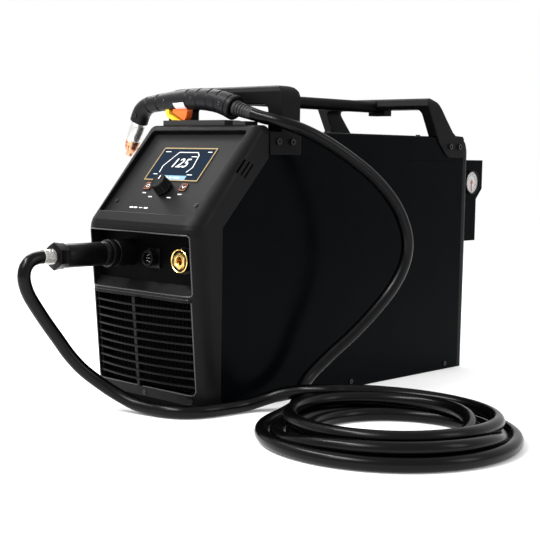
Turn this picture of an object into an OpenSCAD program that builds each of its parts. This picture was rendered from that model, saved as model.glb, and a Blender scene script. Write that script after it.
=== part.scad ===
// Plasma cutter unit: inverter power source with its own hand torch and lead.
// Row frame: X across, front at -Y, Z up. The origin is the middle of the base's underside.

/* [Body] */
// Width over the side panels
body_w = 250; // [240:1:260]
// Depth of the side panels
panel_l = 593; // [580:1:610]
// Height of the side panels
panel_h = 370; // [366:1:374]
// Height of the top cover
cover_h = 412; // [408:1:414]
// Thickness of the sheet metal
sheet = 1.5; // [1:0.1:2]

/* [Front bezel] */
// Height of the ledge over the connectors
ledge_z = 262; // [260:1:264]
// Angle of the control slope above level
slope_a = 48.5; // [48:0.1:49]
// Depth of the control plate below the slope
fascia_in = 8; // [6:0.5:9]
// Wall of the moulded bezels
bezel_wall = 3; // [2.5:0.1:3.5]
// Number of air slats
slats = 10; // [8:1:10]

/* [Controls] */
// Radius of the encoder knob
knob_r = 14.5; // [12:0.5:15]
// Height of the encoder knob
knob_h = 18; // [15:0.5:20]
// Width of each square button
button_w = 13; // [11:0.5:14]

/* [Handles] */
// Top of the two handle hoops
hoop_z = 480; // [476:1:484]
// Width of each hoop leg
hoop_t = 26; // [22:1:28]

/* [Hose] */
// Diameter of the torch hose
hose_d = 19; // [17:0.5:19]
// Inner radius of the hose coil
coil_in = 92; // [88:1:100]
// Outer radius of the hose coil
coil_out = 178; // [175:1:185]
// Height of the hose coil
coil_h = 48; // [44:1:52]

/* [Hidden] */
$fn = 48;
e = 0.01;
black = [0.06, 0.06, 0.065];
grey = [0.2, 0.2, 0.21];
nickel = [0.75, 0.75, 0.76];
brass = [0.8, 0.62, 0.25];

hw = body_w / 2;
front_y = -panel_l / 2;
rear_y = panel_l / 2;
// The side panel's front edge: upright to shoulder_z, then sloping back to slope_y.
shoulder_z = 270;
slope_y = -203;
cover_y = -201.5;
cover_gap = 0.15;
cover_rise = cover_h - panel_h - cover_gap;

// The bezel's front face leans back from the ledge to its lower edge.
foot_z = 12;
foot_y = -334;
nose_y = -355;
corner_r = 30;
crown_r = 14;
crown_z = 419.5;
// The control slope starts at [slope_y0, slope_z0] and rises at slope_a.
slope_y0 = -354;
slope_z0 = 270.5;
// The recess for the connectors, and the sill below it.
recess_x = 112;
recess_y = -328;
sill_back_z = 186;
sill_z = 172;
// The grille opening.
grille_x = 110;
grille_z0 = 27;
grille_z1 = 167;
slat_t = 2.6;
slat_pitch = 12.45;
slat_z0 = 39;
// The slats bow forward in plan, to bow_y in front of the bezel.
bow_r = 439;
bow_y = -8;
// The fascia opening, as distances up the slope.
fascia_x = 106;
fascia_s0 = 22;
fascia_s1 = 188;
fascia_t = 3;
fascia_top = -fascia_in;
knob_s = 76;
button_x = 40;
button_s = 80;
display_x = 60;
display_s0 = 92;
display_s1 = 158;
board_off = -fascia_in - 12;
encoder_r = 3;
fit = 0.05;

// Connectors: each is [x, z] on the connector panel.
torch_at = [-42, 226];
cnc_at = [14, 221];
work_at = [86, 222];
socket_y = -357.7;
nut_y = -375;
plug_y = -454;
collar_y = -471;
gland_y = -490;
nut_bore_r = 16;
work_bore_r = 6.5;

// Hoops: legs stand on the cover, flanges lap its sides.
hoop_x = hw + 2;
front_in_x = 98;
rear_in_x = 108;
flange_z = 376;
FLANGE_BOLTS = [[-185, 395.5], [-155, 395.5], [254, 395], [281, 395]];
bar_z0 = 453.5;
bar_z1 = 473;
bar_w = 26;

// Rear fittings.
back_x = 112;
rear_skin_y = rear_y + 2;
fan_at = [-30, 165];
fan_r = 62;
gland_at = [-85, 335];
switch_at = [-20, 335];
bracket_x = 104;
gauge_at = [346.5, 331.5];
gauge_r = 21.5;
reg_x = 69;

// Torch: a line of [x, z, radius] along the handle, in the plane y = torch_y.
torch_y = -197.5;
GRIP = [[45, 446.3, 19.5], [20, 454.8, 18.4], [-20, 460.6, 17.2], [-55, 461.2, 16.2],
    [-118, 458, 14.2], [-150, 454.5, 14]];
HEAD = [[-152, 454.3, 13.8], [-164, 449.5, 15], [-172.5, 441, 15.4]];
cup_at = [-174.5, 438.4];
cup_a = 24.5;
cup_r = 12.2;
collar_h = 12;
tip_h = 46;
relief_at = [47, 446.5];
relief_a = 15;
trigger_at = [-60, 454];
pivot_r = 1.5;
mat_z = 427.5;

// Route of the hose from the plug to the coil, lying on the floor past the front corner.
FRONT_ROUTE = [[-42, -490.6, 226], [-42, -499, 225.3], [-42, -510, 221.5], [-42, -518, 213],
    [-42, -521, 201], [-42, -519, 188], [-42, -512, 172], [-41, -499, 152], [-39, -483, 129],
    [-35, -467, 106], [-29, -453, 84], [-20, -436, 62], [-6, -416, 42], [14, -400, 26],
    [40, -388, 14], [70, -380, 9.5], [98, -373, 9.5], [119, -358, 9.5], [131, -336, 9.5],
    [137, -310, 9.5], [140, -284, 9.5], [146, -258, 11.5], [160, -236, 19], [179, -221, 27],
    [197, -213, 31.5], [215, -206, 34.5], [236, -199, 37]];
// Route of the hose from the coil, under the other stretch, up to the torch.
RISE_ROUTE = [[233, -301, 9.5], [225, -279, 9.5], [216, -257, 9.5], [206, -234, 9.5],
    [194, -212, 9.5], [180, -191, 13], [168, -170, 24], [163, -146, 42], [172, -112, 70],
    [188, -74, 103], [202, -36, 140], [214, -8, 176], [222, 7, 212], [225, 8, 245],
    [223, -3, 278], [217, -24, 311], [206, -56, 344], [192, -92, 371], [175, -126, 394],
    [160, -154, 409.5], [144, -178, 420], [126, -192, 427], [106, -197.5, 431.2],
    [87.2, -197.5, 435.8]];
coil_at = [392, -244];

// ---------- helpers ----------
function unit(v) = v / norm(v);
function lean_y(z) = foot_y + (nose_y - foot_y) * (z - foot_z) / (ledge_z - foot_z);

module on_slope(x, s, off) {
    translate([0, slope_y0, slope_z0]) rotate([slope_a, 0, 0]) translate([x, s, off])
        children();
}

module rounded(w, h, r) {
    square([w - 2 * r, h], center = true);
    square([w, h - 2 * r], center = true);
    for (x = [-1, 1], y = [-1, 1]) translate([x * (w / 2 - r), y * (h / 2 - r)]) circle(r);
}

// A cylinder from y0 to y1 about a line along Y through [x, z].
module along_y(at, y0, y1, r) {
    translate([at[0], y1, at[1]]) rotate([90, 0, 0]) cylinder(r = r, h = y1 - y0);
}

// A cylinder from x0 to x1 about a line along X through [y, z].
module along_x(at, x0, x1, r) {
    translate([x0, at[0], at[1]]) rotate([0, 90, 0]) cylinder(r = r, h = x1 - x0);
}

// An outline in [y, z], with thickness t towards +X from x.
module side_plate(x, t, points) {
    translate([x, 0, 0]) rotate([90, 0, 90]) linear_extrude(t) polygon(points);
}

module pan_screw(r, h, shank) {
    difference() {
        cylinder(r = r, h = h);
        translate([0, 0, h - 0.8]) cube([r * 1.2, 0.9, 2], center = true);
        translate([0, 0, h - 0.8]) cube([0.9, r * 1.2, 2], center = true);
    }
    translate([0, 0, -shank]) cylinder(r = r / 2 - 0.1, h = shank);
}

// ---------- case ----------
lip_screw_z = 18;
LIP_SCREW_X = [0, 102];
PANEL = [[front_y, 0], [front_y, shoulder_z], [slope_y, panel_h], [rear_y, panel_h],
    [rear_y, 0]];
SCREW_YZ = [[-2, 10], [258, 10]];
TOP_SCREW = [[113, 178], [113, -60]];

module base_plate() {
    color(black) difference() {
        union() {
            translate([-hw + sheet, front_y, 0]) cube([body_w - 2 * sheet, panel_l - 1, 2]);
            translate([-98, -322, 0]) cube([196, 30, 2]);
            translate([-98, -322, 0]) cube([196, 1.5, 14]);
            for (s = [0, 1]) mirror([s, 0, 0]) translate([hw - 2 * sheet, front_y + 6, 0])
                cube([sheet, panel_l - 12, 20]);
        }
        for (s = [0, 1], p = SCREW_YZ) mirror([s, 0, 0])
            along_x(p, hw - 5, hw + 1, 2);
    }
}

module panel_right() {
    difference() {
        side_plate(hw - sheet, sheet, PANEL);
        for (p = SCREW_YZ) along_x(p, hw - 5, hw + 1, 2);
    }
}

module side_panel_right() { color(black) panel_right(); }
module side_panel_left() { color(black) mirror([1, 0, 0]) panel_right(); }

module top_cover() {
    color(black) difference() {
        translate([0, rear_y, panel_h + cover_gap]) rotate([90, 0, 0])
            linear_extrude(rear_y - cover_y) difference() {
                translate([0, cover_rise / 2 - 5])
                    rounded(body_w - 0.8, cover_rise + 10, 4);
                translate([0, cover_rise / 2 - 5])
                    rounded(body_w - 0.8 - 2 * sheet, cover_rise + 10 - 2 * sheet, 3);
                translate([-hw, -20]) square([body_w, 20]);
            }
        for (s = [0, 1], p = FLANGE_BOLTS) mirror([s, 0, 0]) along_x(p, hw - 8, hw + 1, 2.5);
        for (s = [-1, 1], p = TOP_SCREW) translate([s * p[0], p[1], cover_h - 5])
            cylinder(r = 2, h = 6);
    }
}

module case_screws() {
    color(nickel) {
        for (s = [0, 1], p = SCREW_YZ) mirror([s, 0, 0]) translate([hw, p[0], p[1]])
            rotate([0, 90, 0]) pan_screw(4, 2, 6);
        for (s = [-1, 1], p = TOP_SCREW) translate([s * p[0], p[1], cover_h])
            pan_screw(4, 2, 4);
        for (x = LIP_SCREW_X) translate([x, lean_y(lip_screw_z) + 1, lip_screw_z])
            rotate([90, 0, 0]) pan_screw(4, 2, 4);
    }
}

// ---------- front bezel ----------
// The outer form, drawn in by g all round.
module bezel_form(g) {
    hull() {
        for (s = [-1, 1]) translate([s * (hw - corner_r), corner_r, 0]) {
            for (p = [[foot_y, foot_z - 1 + g], [nose_y, 259], [-353.8, 267], [-351, 274],
                    [-346, 279.5]])
                translate([0, p[0], p[1] - g]) cylinder(r = corner_r - g, h = 0.5, $fn = 64);
        }
        for (s = [-1, 1], y = [-215.8, -185]) translate([s * (hw - crown_r), y, 405.5])
            sphere(r = crown_r - g, $fn = 32);
        translate([-hw + g, -230, foot_z - 1]) cube([body_w - 2 * g, 30, 375 - g]);
    }
}

module bezel_rear_cut() {
    side_plate(-200, 400, [[front_y, -20], [front_y, shoulder_z], [slope_y, panel_h + 1],
        [cover_y - 0.5, 450], [100, 450], [100, -20]]);
}

module front_bezel() {
    color(grey) difference() {
        union() {
            difference() {
                bezel_form(0);
                bezel_form(bezel_wall);
            }
            intersection() {
                bezel_form(0.5);
                union() {
                    translate([-116, -360, sill_z - 8]) cube([232, recess_y + 360, 104]);
                    on_slope(0, (fascia_s0 + fascia_s1) / 2, -fascia_in - fascia_t)
                        linear_extrude(fascia_in + fascia_t)
                            rounded(2 * fascia_x + 8, fascia_s1 - fascia_s0 + 8, 8);
                }
            }
        }
        bezel_rear_cut();
        translate([-200, -400, -10]) cube([400, 300, 10 + foot_z]);
        // connector recess with its sloping sill
        side_plate(-recess_x, 2 * recess_x, [[-380, ledge_z], [recess_y + e, ledge_z],
            [recess_y + e, sill_back_z], [-342, sill_z], [-380, sill_z]]);
        // grille opening
        translate([-grille_x, -380, grille_z0]) cube([2 * grille_x, 120, grille_z1 - grille_z0]);
        // control opening
        on_slope(0, (fascia_s0 + fascia_s1) / 2, -20) linear_extrude(40)
            rounded(2 * fascia_x, fascia_s1 - fascia_s0, 6);
        // cheek vents
        for (p = [[-260, 358.5], [-252.5, 355], [-245, 351.5]])
            translate([0, p[0], p[1]]) rotate([slope_a, 0, 0])
                cube([2 * hw + 20, 26, 3.2], center = true);
        for (x = LIP_SCREW_X) {
            along_y([x, lip_screw_z], -345, -300, 2);
            along_y([x, lip_screw_z], -345, lean_y(lip_screw_z) + 1, 4.3);
        }
    }
}

// One bowed slat in plan, wall deep, with its front at y.
module slat_plan(y, wall) {
    intersection() {
        translate([0, y + bow_r]) difference() {
            circle(r = bow_r, $fn = 240);
            circle(r = bow_r - wall, $fn = 240);
        }
        translate([-grille_x + 0.1, -40]) square([2 * grille_x - 0.2, 80]);
    }
}

// The bar over the slats in plan, following the bezel's rounded corners.
module top_bar_plan() {
    intersection() {
        difference() {
            translate([0, 100]) rounded(body_w + 1.6, 201.6, corner_r + 0.8);
            translate([0, 100]) rounded(body_w - 22.4, 177.6, corner_r - 11.2);
        }
        translate([-grille_x + 0.1, -10]) square([2 * grille_x - 0.2, 40]);
    }
}

// An upright of the grille at x, t wide, from y0 to y1 behind the bezel's face.
module grille_post(x, t, y0, y1) {
    side_plate(x, t, [[lean_y(grille_z0) + y0, grille_z0 + 0.1],
        [lean_y(grille_z1) + y0, grille_z1 - 4.4], [lean_y(grille_z1) + y1, grille_z1 - 4.4],
        [lean_y(grille_z0) + y1, grille_z0 + 0.1]]);
}

module front_grille() {
    color(grey) {
        for (i = [0:slats - 1]) translate([0, lean_y(slat_z0 + i * slat_pitch),
                slat_z0 + i * slat_pitch - slat_t / 2])
            linear_extrude(slat_t) slat_plan(bow_y, 9);
        translate([0, lean_y(grille_z1), grille_z1 - 4.5]) linear_extrude(4.4) top_bar_plan();
        grille_post(-9, 6, bow_y + 2, 2);
        for (x = [-109, 105]) grille_post(x, 4, 8, 14);
    }
}

// ---------- controls ----------
module control_fascia() {
    color(grey) difference() {
        on_slope(0, (fascia_s0 + fascia_s1) / 2, fascia_top - fascia_t)
            linear_extrude(fascia_t)
                rounded(2 * fascia_x - 0.4, fascia_s1 - fascia_s0 - 0.4, 6);
        on_slope(0, knob_s, -30) cylinder(r = encoder_r + fit, h = 40);
        for (x = [-1, 1]) on_slope(x * button_x, button_s, -20)
            linear_extrude(30) square(button_w + 0.6, center = true);
        for (x = [-1, 1]) on_slope(x * 90, 48.5, -20) cylinder(r = 1.6, h = 30);
        for (i = [-1, 1]) on_slope(i * 50, 125, -20) linear_extrude(30)
            square([10, 40], center = true);
    }
}

module fascia_screws() {
    color(nickel) for (x = [-1, 1]) on_slope(x * 90, 48.5, fascia_top)
        pan_screw(3.2, 1.4, 6);
}

module display_frame() {
    color(brass) on_slope(0, (display_s0 + display_s1) / 2, fascia_top)
        linear_extrude(1.2) difference() {
            rounded(2 * display_x, display_s1 - display_s0, 1.5);
            square([2 * display_x - 4, display_s1 - display_s0 - 4], center = true);
        }
}

module display_screen() {
    color([0.08, 0.16, 0.3]) on_slope(0, (display_s0 + display_s1) / 2, fascia_top)
        linear_extrude(0.7)
            square([2 * display_x - 4.2, display_s1 - display_s0 - 4.2], center = true);
}

module control_board() {
    color([0.05, 0.3, 0.15]) difference() {
        union() {
            on_slope(0, 106, board_off) linear_extrude(1.6) square([150, 112], center = true);
            on_slope(0, knob_s, board_off + 1.6 - e)
                linear_extrude(-board_off - 1.6 + fascia_top - fascia_t - 0.2)
                    square(15, center = true);
        }
        on_slope(0, knob_s, board_off + 2.6) cylinder(r = 6, h = 3.4);
        on_slope(0, knob_s, board_off + 2.6) cylinder(r = encoder_r + 0.3, h = 10);
    }
}

// The sprung collar inside the encoder that the shaft turns in and pushes.
module encoder_plunger() {
    color(nickel) difference() {
        on_slope(0, knob_s, board_off + 4.2) cylinder(r = 5.6, h = 1.4);
        on_slope(0, knob_s, board_off + 4) cylinder(r = encoder_r + fit, h = 4);
    }
}

module encoder_shaft() {
    color(nickel) on_slope(0, knob_s, board_off + 4.2)
        cylinder(r = encoder_r, h = -board_off - 4.2 + fascia_top + 12);
}

module control_knob() {
    color(black) difference() {
        on_slope(0, knob_s, fascia_top + 1.6) union() {
            cylinder(r = knob_r, h = 4);
            translate([0, 0, 4]) cylinder(r1 = knob_r - 0.6, r2 = knob_r - 2, h = knob_h - 4);
        }
        on_slope(0, knob_s, fascia_top - 2) cylinder(r = encoder_r, h = 14);
        for (i = [0:11]) on_slope(0, knob_s, fascia_top + 6) rotate([0, 0, i * 30])
            translate([knob_r + 0.6, 0, 0]) cylinder(r = 1.8, h = knob_h, $fn = 16);
    }
}

module button(x) {
    color(grey) {
        on_slope(x, button_s, fascia_top - fascia_t - 0.4) linear_extrude(fascia_t + 1.9)
            square(button_w, center = true);
        on_slope(x, button_s, fascia_top - fascia_t - 2) linear_extrude(1.7)
            square(button_w + 4, center = true);
    }
}

module button_left() { button(-button_x); }
module button_right() { button(button_x); }

// ---------- connectors ----------
module connector_panel() {
    color(black) difference() {
        translate([-115.9, recess_y, sill_z - 7]) cube([231.8, 2.5, 102]);
        along_y(torch_at, recess_y - 1, recess_y + 4, 17);
        translate([cnc_at[0] - 10, recess_y - 1, cnc_at[1] - 10]) cube([20, 5, 20]);
        along_y(work_at, recess_y - 1, recess_y + 4, 14);
    }
}

module torch_socket() {
    color(brass) difference() {
        union() {
            along_y(torch_at, socket_y, recess_y, 20);
            along_y(torch_at, recess_y - e, recess_y + 22, 16.9);
        }
        along_y(torch_at, socket_y - 1, recess_y - 8, 13);
        along_y(torch_at, recess_y - 9, recess_y + 23, 4);
    }
}

module cnc_socket() {
    color(black) {
        difference() {
            union() {
                translate([cnc_at[0] - 14, recess_y - 2.5, cnc_at[1] - 15])
                    cube([28, 2.5, 30]);
                along_y(cnc_at, -344, recess_y - 2, 11.5);
                along_y(cnc_at, recess_y - 2, recess_y + 18, 9.8);
            }
            along_y(cnc_at, -345, recess_y + 6, 8.6);
            for (x = [-11, 11], z = [-12, 12]) along_y(cnc_at + [x, z], -332, -326, 1.3);
        }
        for (a = [0:45:315])
            along_y(cnc_at + 5.4 * [cos(a), sin(a)], -338, recess_y + 6.1, 0.8);
        along_y(cnc_at, -338, recess_y + 6.1, 0.8);
    }
}

module work_socket() {
    color(black) difference() {
        union() {
            along_y(work_at, -334, recess_y, 20);
            along_y(work_at, -343, -333.9, 16);
            along_y(work_at, recess_y - e, recess_y + 16, 13.8);
        }
        along_y(work_at, -344, recess_y + 17, 12 + fit);
    }
}

// The brass insert, with the bore that the work cable's plug pushes into.
module work_contact() {
    color(brass) difference() {
        along_y(work_at, -342, recess_y + 24, 12);
        along_y(work_at, -343, -317, work_bore_r);
    }
}

module plug_body() {
    color(black) {
        along_y(torch_at, nut_y - 0.3, socket_y, nut_bore_r);
        along_y(torch_at, plug_y, nut_y - 0.3, 17.6);
        translate([torch_at[0], plug_y, torch_at[1]]) rotate([90, 0, 0]) rotate_extrude()
            polygon([[0, 0], [17.6, 0], [17.8, 5], [19.8, 13], [19.8, 17], [0, 17]]);
    }
}

module plug_nut() {
    color(nickel) difference() {
        union() {
            along_y(torch_at, nut_y + 0.1, nut_y + 12, 20.6);
            along_y(torch_at, nut_y + 11.9, socket_y - 0.4, 20);
        }
        along_y(torch_at, nut_y - 1, socket_y + 1, nut_bore_r + fit);
        for (a = [0:15:345]) along_y(torch_at + 21.2 * [cos(a), sin(a)], nut_y + 2,
            nut_y + 10.5, 1.2, $fn = 16);
    }
}

module plug_gland() {
    color(nickel) along_y(torch_at, gland_y, collar_y, 11);
}

// ---------- handles ----------
module hoop_arch(y0, y1, in_x, under_z) {
    translate([0, y1, 0]) rotate([90, 0, 0]) linear_extrude(y1 - y0) difference() {
        translate([0, hoop_z - 80]) rounded(2 * hoop_x, 160, 20);
        translate([0, under_z - 100]) rounded(2 * in_x, 200, 10);
        translate([-hw + 0.4, 300]) square([body_w - 0.8, cover_h - 300]);
    }
}

module front_hoop() {
    color(grey) difference() {
        intersection() {
            hoop_arch(-203, -130, front_in_x, 452);
            side_plate(-200, 400, [[-201.4, flange_z], [-201.4, cover_h - 2],
                [-178, cover_h - 2], [-178, hoop_z - 9], [-174.5, hoop_z - 2.5],
                [-168, hoop_z], [-148, hoop_z], [-141.5, hoop_z - 2.5], [-138, hoop_z - 9],
                [-138, cover_h + 6], [-135, cover_h], [-135, flange_z]]);
        }
        for (s = [0, 1], i = [0, 1]) mirror([s, 0, 0])
            along_x(FLANGE_BOLTS[i], hw - 8, hoop_x + 1, 2.5);
    }
}

module rear_hoop() {
    color(grey) difference() {
        union() {
            intersection() {
                hoop_arch(150, 310, rear_in_x, 458);
                side_plate(-200, 400, [[187, 464], [221, 402], [242, 381], [252, flange_z],
                    [291, flange_z], [295.5, 379], [295.5, 408], [292, 413], [270, 414],
                    [261, 420], [241, 442], [229, 456], [216, 470], [202, 477], [192, 474]]);
            }
            translate([-18, 204, 448]) cube([36, 20, 20]);
        }
        for (s = [0, 1], i = [2, 3]) mirror([s, 0, 0])
            along_x(FLANGE_BOLTS[i], hw - 8, hoop_x + 1, 2.5);
        bar_form();
    }
}

module bar_form() {
    translate([0, 206, (bar_z0 + bar_z1) / 2]) rotate([90, 0, 0])
        linear_extrude(206 + 138) rounded(bar_w, bar_z1 - bar_z0, 8);
}

module handle_bar() { color(grey) bar_form(); }

module hoop_bolts() {
    color(nickel) for (s = [0, 1], p = FLANGE_BOLTS) mirror([s, 0, 0])
        translate([hoop_x, p[0], p[1]]) rotate([0, 90, 0]) difference() {
            union() {
                cylinder(r = 5, h = 3);
                translate([0, 0, -9]) cylinder(r = 2.4, h = 9.1);
            }
            translate([0, 0, 1]) rotate([0, 0, 15]) cube([4, 4, 4.2], center = true);
        }
}

module torch_rest_mat() {
    color([0.1, 0.1, 0.1]) {
        side_plate(-98.6, 140.6, [[-215, crown_z], [-201.4, crown_z], [-201.4, cover_h],
            [-181, cover_h], [-181, mat_z], [-215, mat_z]]);
        side_plate(60, 26, [[-215, crown_z], [-201.4, crown_z], [-201.4, cover_h],
            [-188, cover_h], [-188, mat_z - 2.1], [-215, mat_z - 2.1]]);
    }
}

// ---------- rear ----------
// The rear bezel's form, drawn in by g.
module rear_form(g) {
    intersection() {
        side_plate(-200, 400, [[290, g], [307 - g, g], [312 - g, 192], [320 - g, 313],
            [316 - g, 376 - g], [297, 412 - g], [290, 412 - g]]);
        translate([0, 260]) linear_extrude(500)
            rounded(body_w - 2 * g, 120 - 2 * g, 18 - g);
        translate([0, 400, 200]) rotate([90, 0, 0]) linear_extrude(200)
            rounded(body_w - 2 * g, 424 - 2 * g, 12);
    }
}

module rear_bezel() {
    color(grey) difference() {
        rear_form(0);
        rear_form(bezel_wall);
        translate([-back_x, 250, 16]) cube([2 * back_x, 100, 364]);
        translate([-hw - 1, 250, -1]) cube([body_w + 2, 46.6, 430]);
    }
}

module rear_panel() {
    color(black) difference() {
        translate([-hw + 4, rear_y, 4]) cube([body_w - 8, 2, 380]);
        along_y(fan_at, rear_y - 1, rear_y + 3, fan_r);
        along_y(gland_at, rear_y - 1, rear_y + 3, 9);
        along_y(switch_at, rear_y - 1, rear_y + 3, 8);
    }
}

module fan_guard() {
    color(nickel) {
        for (r = [16:12:64]) translate([fan_at[0], rear_skin_y + 3.4, fan_at[1]])
            rotate([90, 0, 0]) rotate_extrude() translate([r, 0]) circle(r = 1.2, $fn = 16);
        for (a = [45:90:315]) translate([fan_at[0], rear_skin_y + 1.2, fan_at[1]])
            rotate([0, a, 0]) along_x([0, 0], 14, 78, 1.2, $fn = 16);
    }
}

module fan_frame() {
    color(black) {
        difference() {
            translate([fan_at[0] - 68, rear_y - 38, fan_at[1] - 68]) cube([136, 38, 136]);
            along_y(fan_at, rear_y - 40, rear_y + 1, fan_r);
        }
        along_y(fan_at, rear_y - 38, rear_y - 33, 20);
        for (a = [0:90:270]) translate([fan_at[0], rear_y - 36, fan_at[1]])
            rotate([0, a, 0]) translate([15, -1.5, -2]) cube([50, 3, 4]);
        along_y(fan_at, rear_y - 34, rear_y - 16, 4);
    }
}

module fan_rotor() {
    color(black) {
        difference() {
            along_y(fan_at, rear_y - 32, rear_y - 8, 19);
            along_y(fan_at, rear_y - 33, rear_y - 12, 4 + fit);
        }
        for (i = [0:6]) translate([fan_at[0], rear_y - 20, fan_at[1]])
            rotate([0, i * 360 / 7, 0]) rotate([35, 0, 0]) translate([17, -1, -11])
                cube([40, 2, 22]);
    }
}

// The inlet for the mains lead, with its open bore.
module mains_gland() {
    color(black) difference() {
        union() {
            along_y(gland_at, rear_y - 8, rear_skin_y + 1, 8.9);
            along_y(gland_at, rear_skin_y, rear_skin_y + 6, 14);
            along_y(gland_at, rear_skin_y + 5.9, rear_skin_y + 22, 11.5);
        }
        along_y(gland_at, rear_y - 9, rear_skin_y + 23, 6.5);
    }
}

module mains_switch_base() {
    color(black) difference() {
        union() {
            translate([switch_at[0] - 22, rear_skin_y, switch_at[1] - 22])
                cube([44, 6, 44]);
            along_y(switch_at, rear_y - 30, rear_skin_y + 1, 7.9);
        }
        along_y(switch_at, rear_skin_y - 12, rear_skin_y + 7, 4 + fit);
    }
}

module mains_switch_knob() {
    color([0.15, 0.15, 0.15]) {
        along_y(switch_at, rear_skin_y - 11, rear_skin_y + 7, 4);
        along_y(switch_at, rear_skin_y + 6.4, rear_skin_y + 12, 17);
        translate([switch_at[0] - 4, rear_skin_y + 11.9, switch_at[1] - 17])
            cube([8, 9, 34]);
    }
}

// ---------- inside ----------
module heatsink() {
    color([0.7, 0.7, 0.72]) {
        translate([-80, -200, 2]) cube([160, 380, 8]);
        for (i = [0:9]) translate([-80 + i * 17.2, -200, 9.9]) cube([4, 380, 60.1]);
    }
}

module inverter_board() {
    color([0.05, 0.3, 0.15]) {
        translate([-85, -205, 70]) cube([170, 400, 2]);
        for (i = [0:3]) translate([-50, -160 + i * 60, 71.9]) cylinder(r = 17, h = 50);
    }
}

module transformer() {
    color([0.55, 0.3, 0.15]) difference() {
        translate([0, 80, 72]) cube([70, 70, 80]);
        translate([14, 79, 90]) cube([42, 72, 44]);
    }
}

// ---------- air regulator ----------
module regulator_bracket() {
    color(black) difference() {
        union() {
            side_plate(bracket_x, 3, [[rear_skin_y, 225], [368, 225], [368, 301], [386, 320],
                [386, 372], [330, 372], [322, 360], [rear_skin_y, 360]]);
            translate([bracket_x - 16, rear_skin_y, 225]) cube([19, 3, 135]);
        }
        along_x(gauge_at, bracket_x - 1, bracket_x + 4, 17);
    }
}

module regulator_body() {
    color([0.6, 0.6, 0.62]) {
        translate([reg_x - 22, gauge_at[0] - 20, gauge_at[1] - 18]) cube([44, 40, 36]);
        along_x(gauge_at, reg_x + 21, bracket_x, 14);
        along_y([reg_x, gauge_at[1] - 8], rear_skin_y, gauge_at[0] - 19, 8);
        translate([reg_x, gauge_at[0], gauge_at[1] + 17.9]) cylinder(r = 15, h = 8);
        translate([reg_x, gauge_at[0], gauge_at[1] + 25.8]) cylinder(r = 6, h = 10);
        translate([reg_x, gauge_at[0], gauge_at[1] - 28]) cylinder(r = 20, h = 10.1);
    }
}

module regulator_bowl() {
    color([0.8, 0.8, 0.82]) translate([reg_x, gauge_at[0], gauge_at[1] - 28])
        rotate_extrude() polygon([[0, -60], [6, -60], [7, -54], [14, -52], [18.5, -44],
            [18.5, 0], [16.5, 0], [16.5, -42], [13, -49], [0, -49]]);
}

module regulator_knob() {
    color(black) difference() {
        translate([reg_x, gauge_at[0], gauge_at[1] + 26.3]) cylinder(r = 17, h = 24);
        translate([reg_x, gauge_at[0], gauge_at[1] + 25]) cylinder(r = 6 + fit, h = 12);
        for (a = [0:30:330]) translate([reg_x + 18 * cos(a), gauge_at[0] + 18 * sin(a),
            gauge_at[1] + 30]) cylinder(r = 2, h = 30, $fn = 16);
    }
}

module gauge_case() {
    color(black) difference() {
        union() {
            along_x(gauge_at, bracket_x + 3, bracket_x + 9, gauge_r);
            along_x(gauge_at, bracket_x, bracket_x + 3.1, 16.9);
        }
        along_x(gauge_at, bracket_x + 4.6, bracket_x + 10, gauge_r - 1.5);
        along_x(gauge_at, bracket_x + 2, bracket_x + 6, 1 + fit);
    }
}

module gauge_dial() {
    color([0.95, 0.95, 0.95]) difference() {
        along_x(gauge_at, bracket_x + 4.6, bracket_x + 5.6, gauge_r - 1.6);
        along_x(gauge_at, bracket_x + 4, bracket_x + 6, 1.4);
    }
}

module gauge_needle() {
    color([0.8, 0.1, 0.05]) {
        along_x(gauge_at, bracket_x + 2.5, bracket_x + 8, 1);
        along_x(gauge_at, bracket_x + 6.2, bracket_x + 7.8, 2.4);
        translate([bracket_x + 6.5, gauge_at[0] - 0.7, gauge_at[1] - 16])
            cube([0.8, 1.4, 21]);
    }
}

module air_inlet() {
    color(brass) difference() {
        union() {
            along_x(gauge_at, reg_x - 44, reg_x - 30.9, 6);
            along_x(gauge_at, reg_x - 31, reg_x - 22, 9);
        }
        along_x(gauge_at, reg_x - 45, reg_x - 24, 3);
    }
}

// ---------- torch ----------
// An outline in [x, z], w thick across the torch.
module torch_plate(w, points) {
    translate([0, torch_y + w / 2, 0]) rotate([90, 0, 0]) linear_extrude(w) polygon(points);
}

module grip_form() {
    for (i = [0:4]) hull() for (p = [GRIP[i], GRIP[i + 1]])
        translate([p[0], torch_y, p[1]]) rotate([0, 90, 0])
            cylinder(r = p[2], h = 0.01, $fn = 32);
}

module relief_axis() {
    translate([relief_at[0], torch_y, relief_at[1]]) rotate([0, 90 + relief_a, 0]) children();
}

module torch_handle(back) {
    color(grey) difference() {
        intersection() {
            grip_form();
            translate([-200, torch_y - (back ? 0 : 30), 400]) cube([300, 30, 100]);
        }
        along_x([torch_y, 458.5], -112, 14, 10);
        along_x([torch_y, 455], -151, -111, 7);
        relief_axis() translate([0, 0, -40]) cylinder(r = 8 + fit, h = 80);
        translate([-118, torch_y - 6.5, 435]) cube([67, 13, 18]);
        along_y([trigger_at[0], trigger_at[1]], torch_y - 12.6, torch_y + 12.6, pivot_r + fit);
    }
}

module torch_handle_front() { torch_handle(false); }
module torch_handle_back() { torch_handle(true); }

module cup_axis() {
    translate([cup_at[0], torch_y, cup_at[1]]) rotate([0, 180 + cup_a, 0]) children();
}

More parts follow.
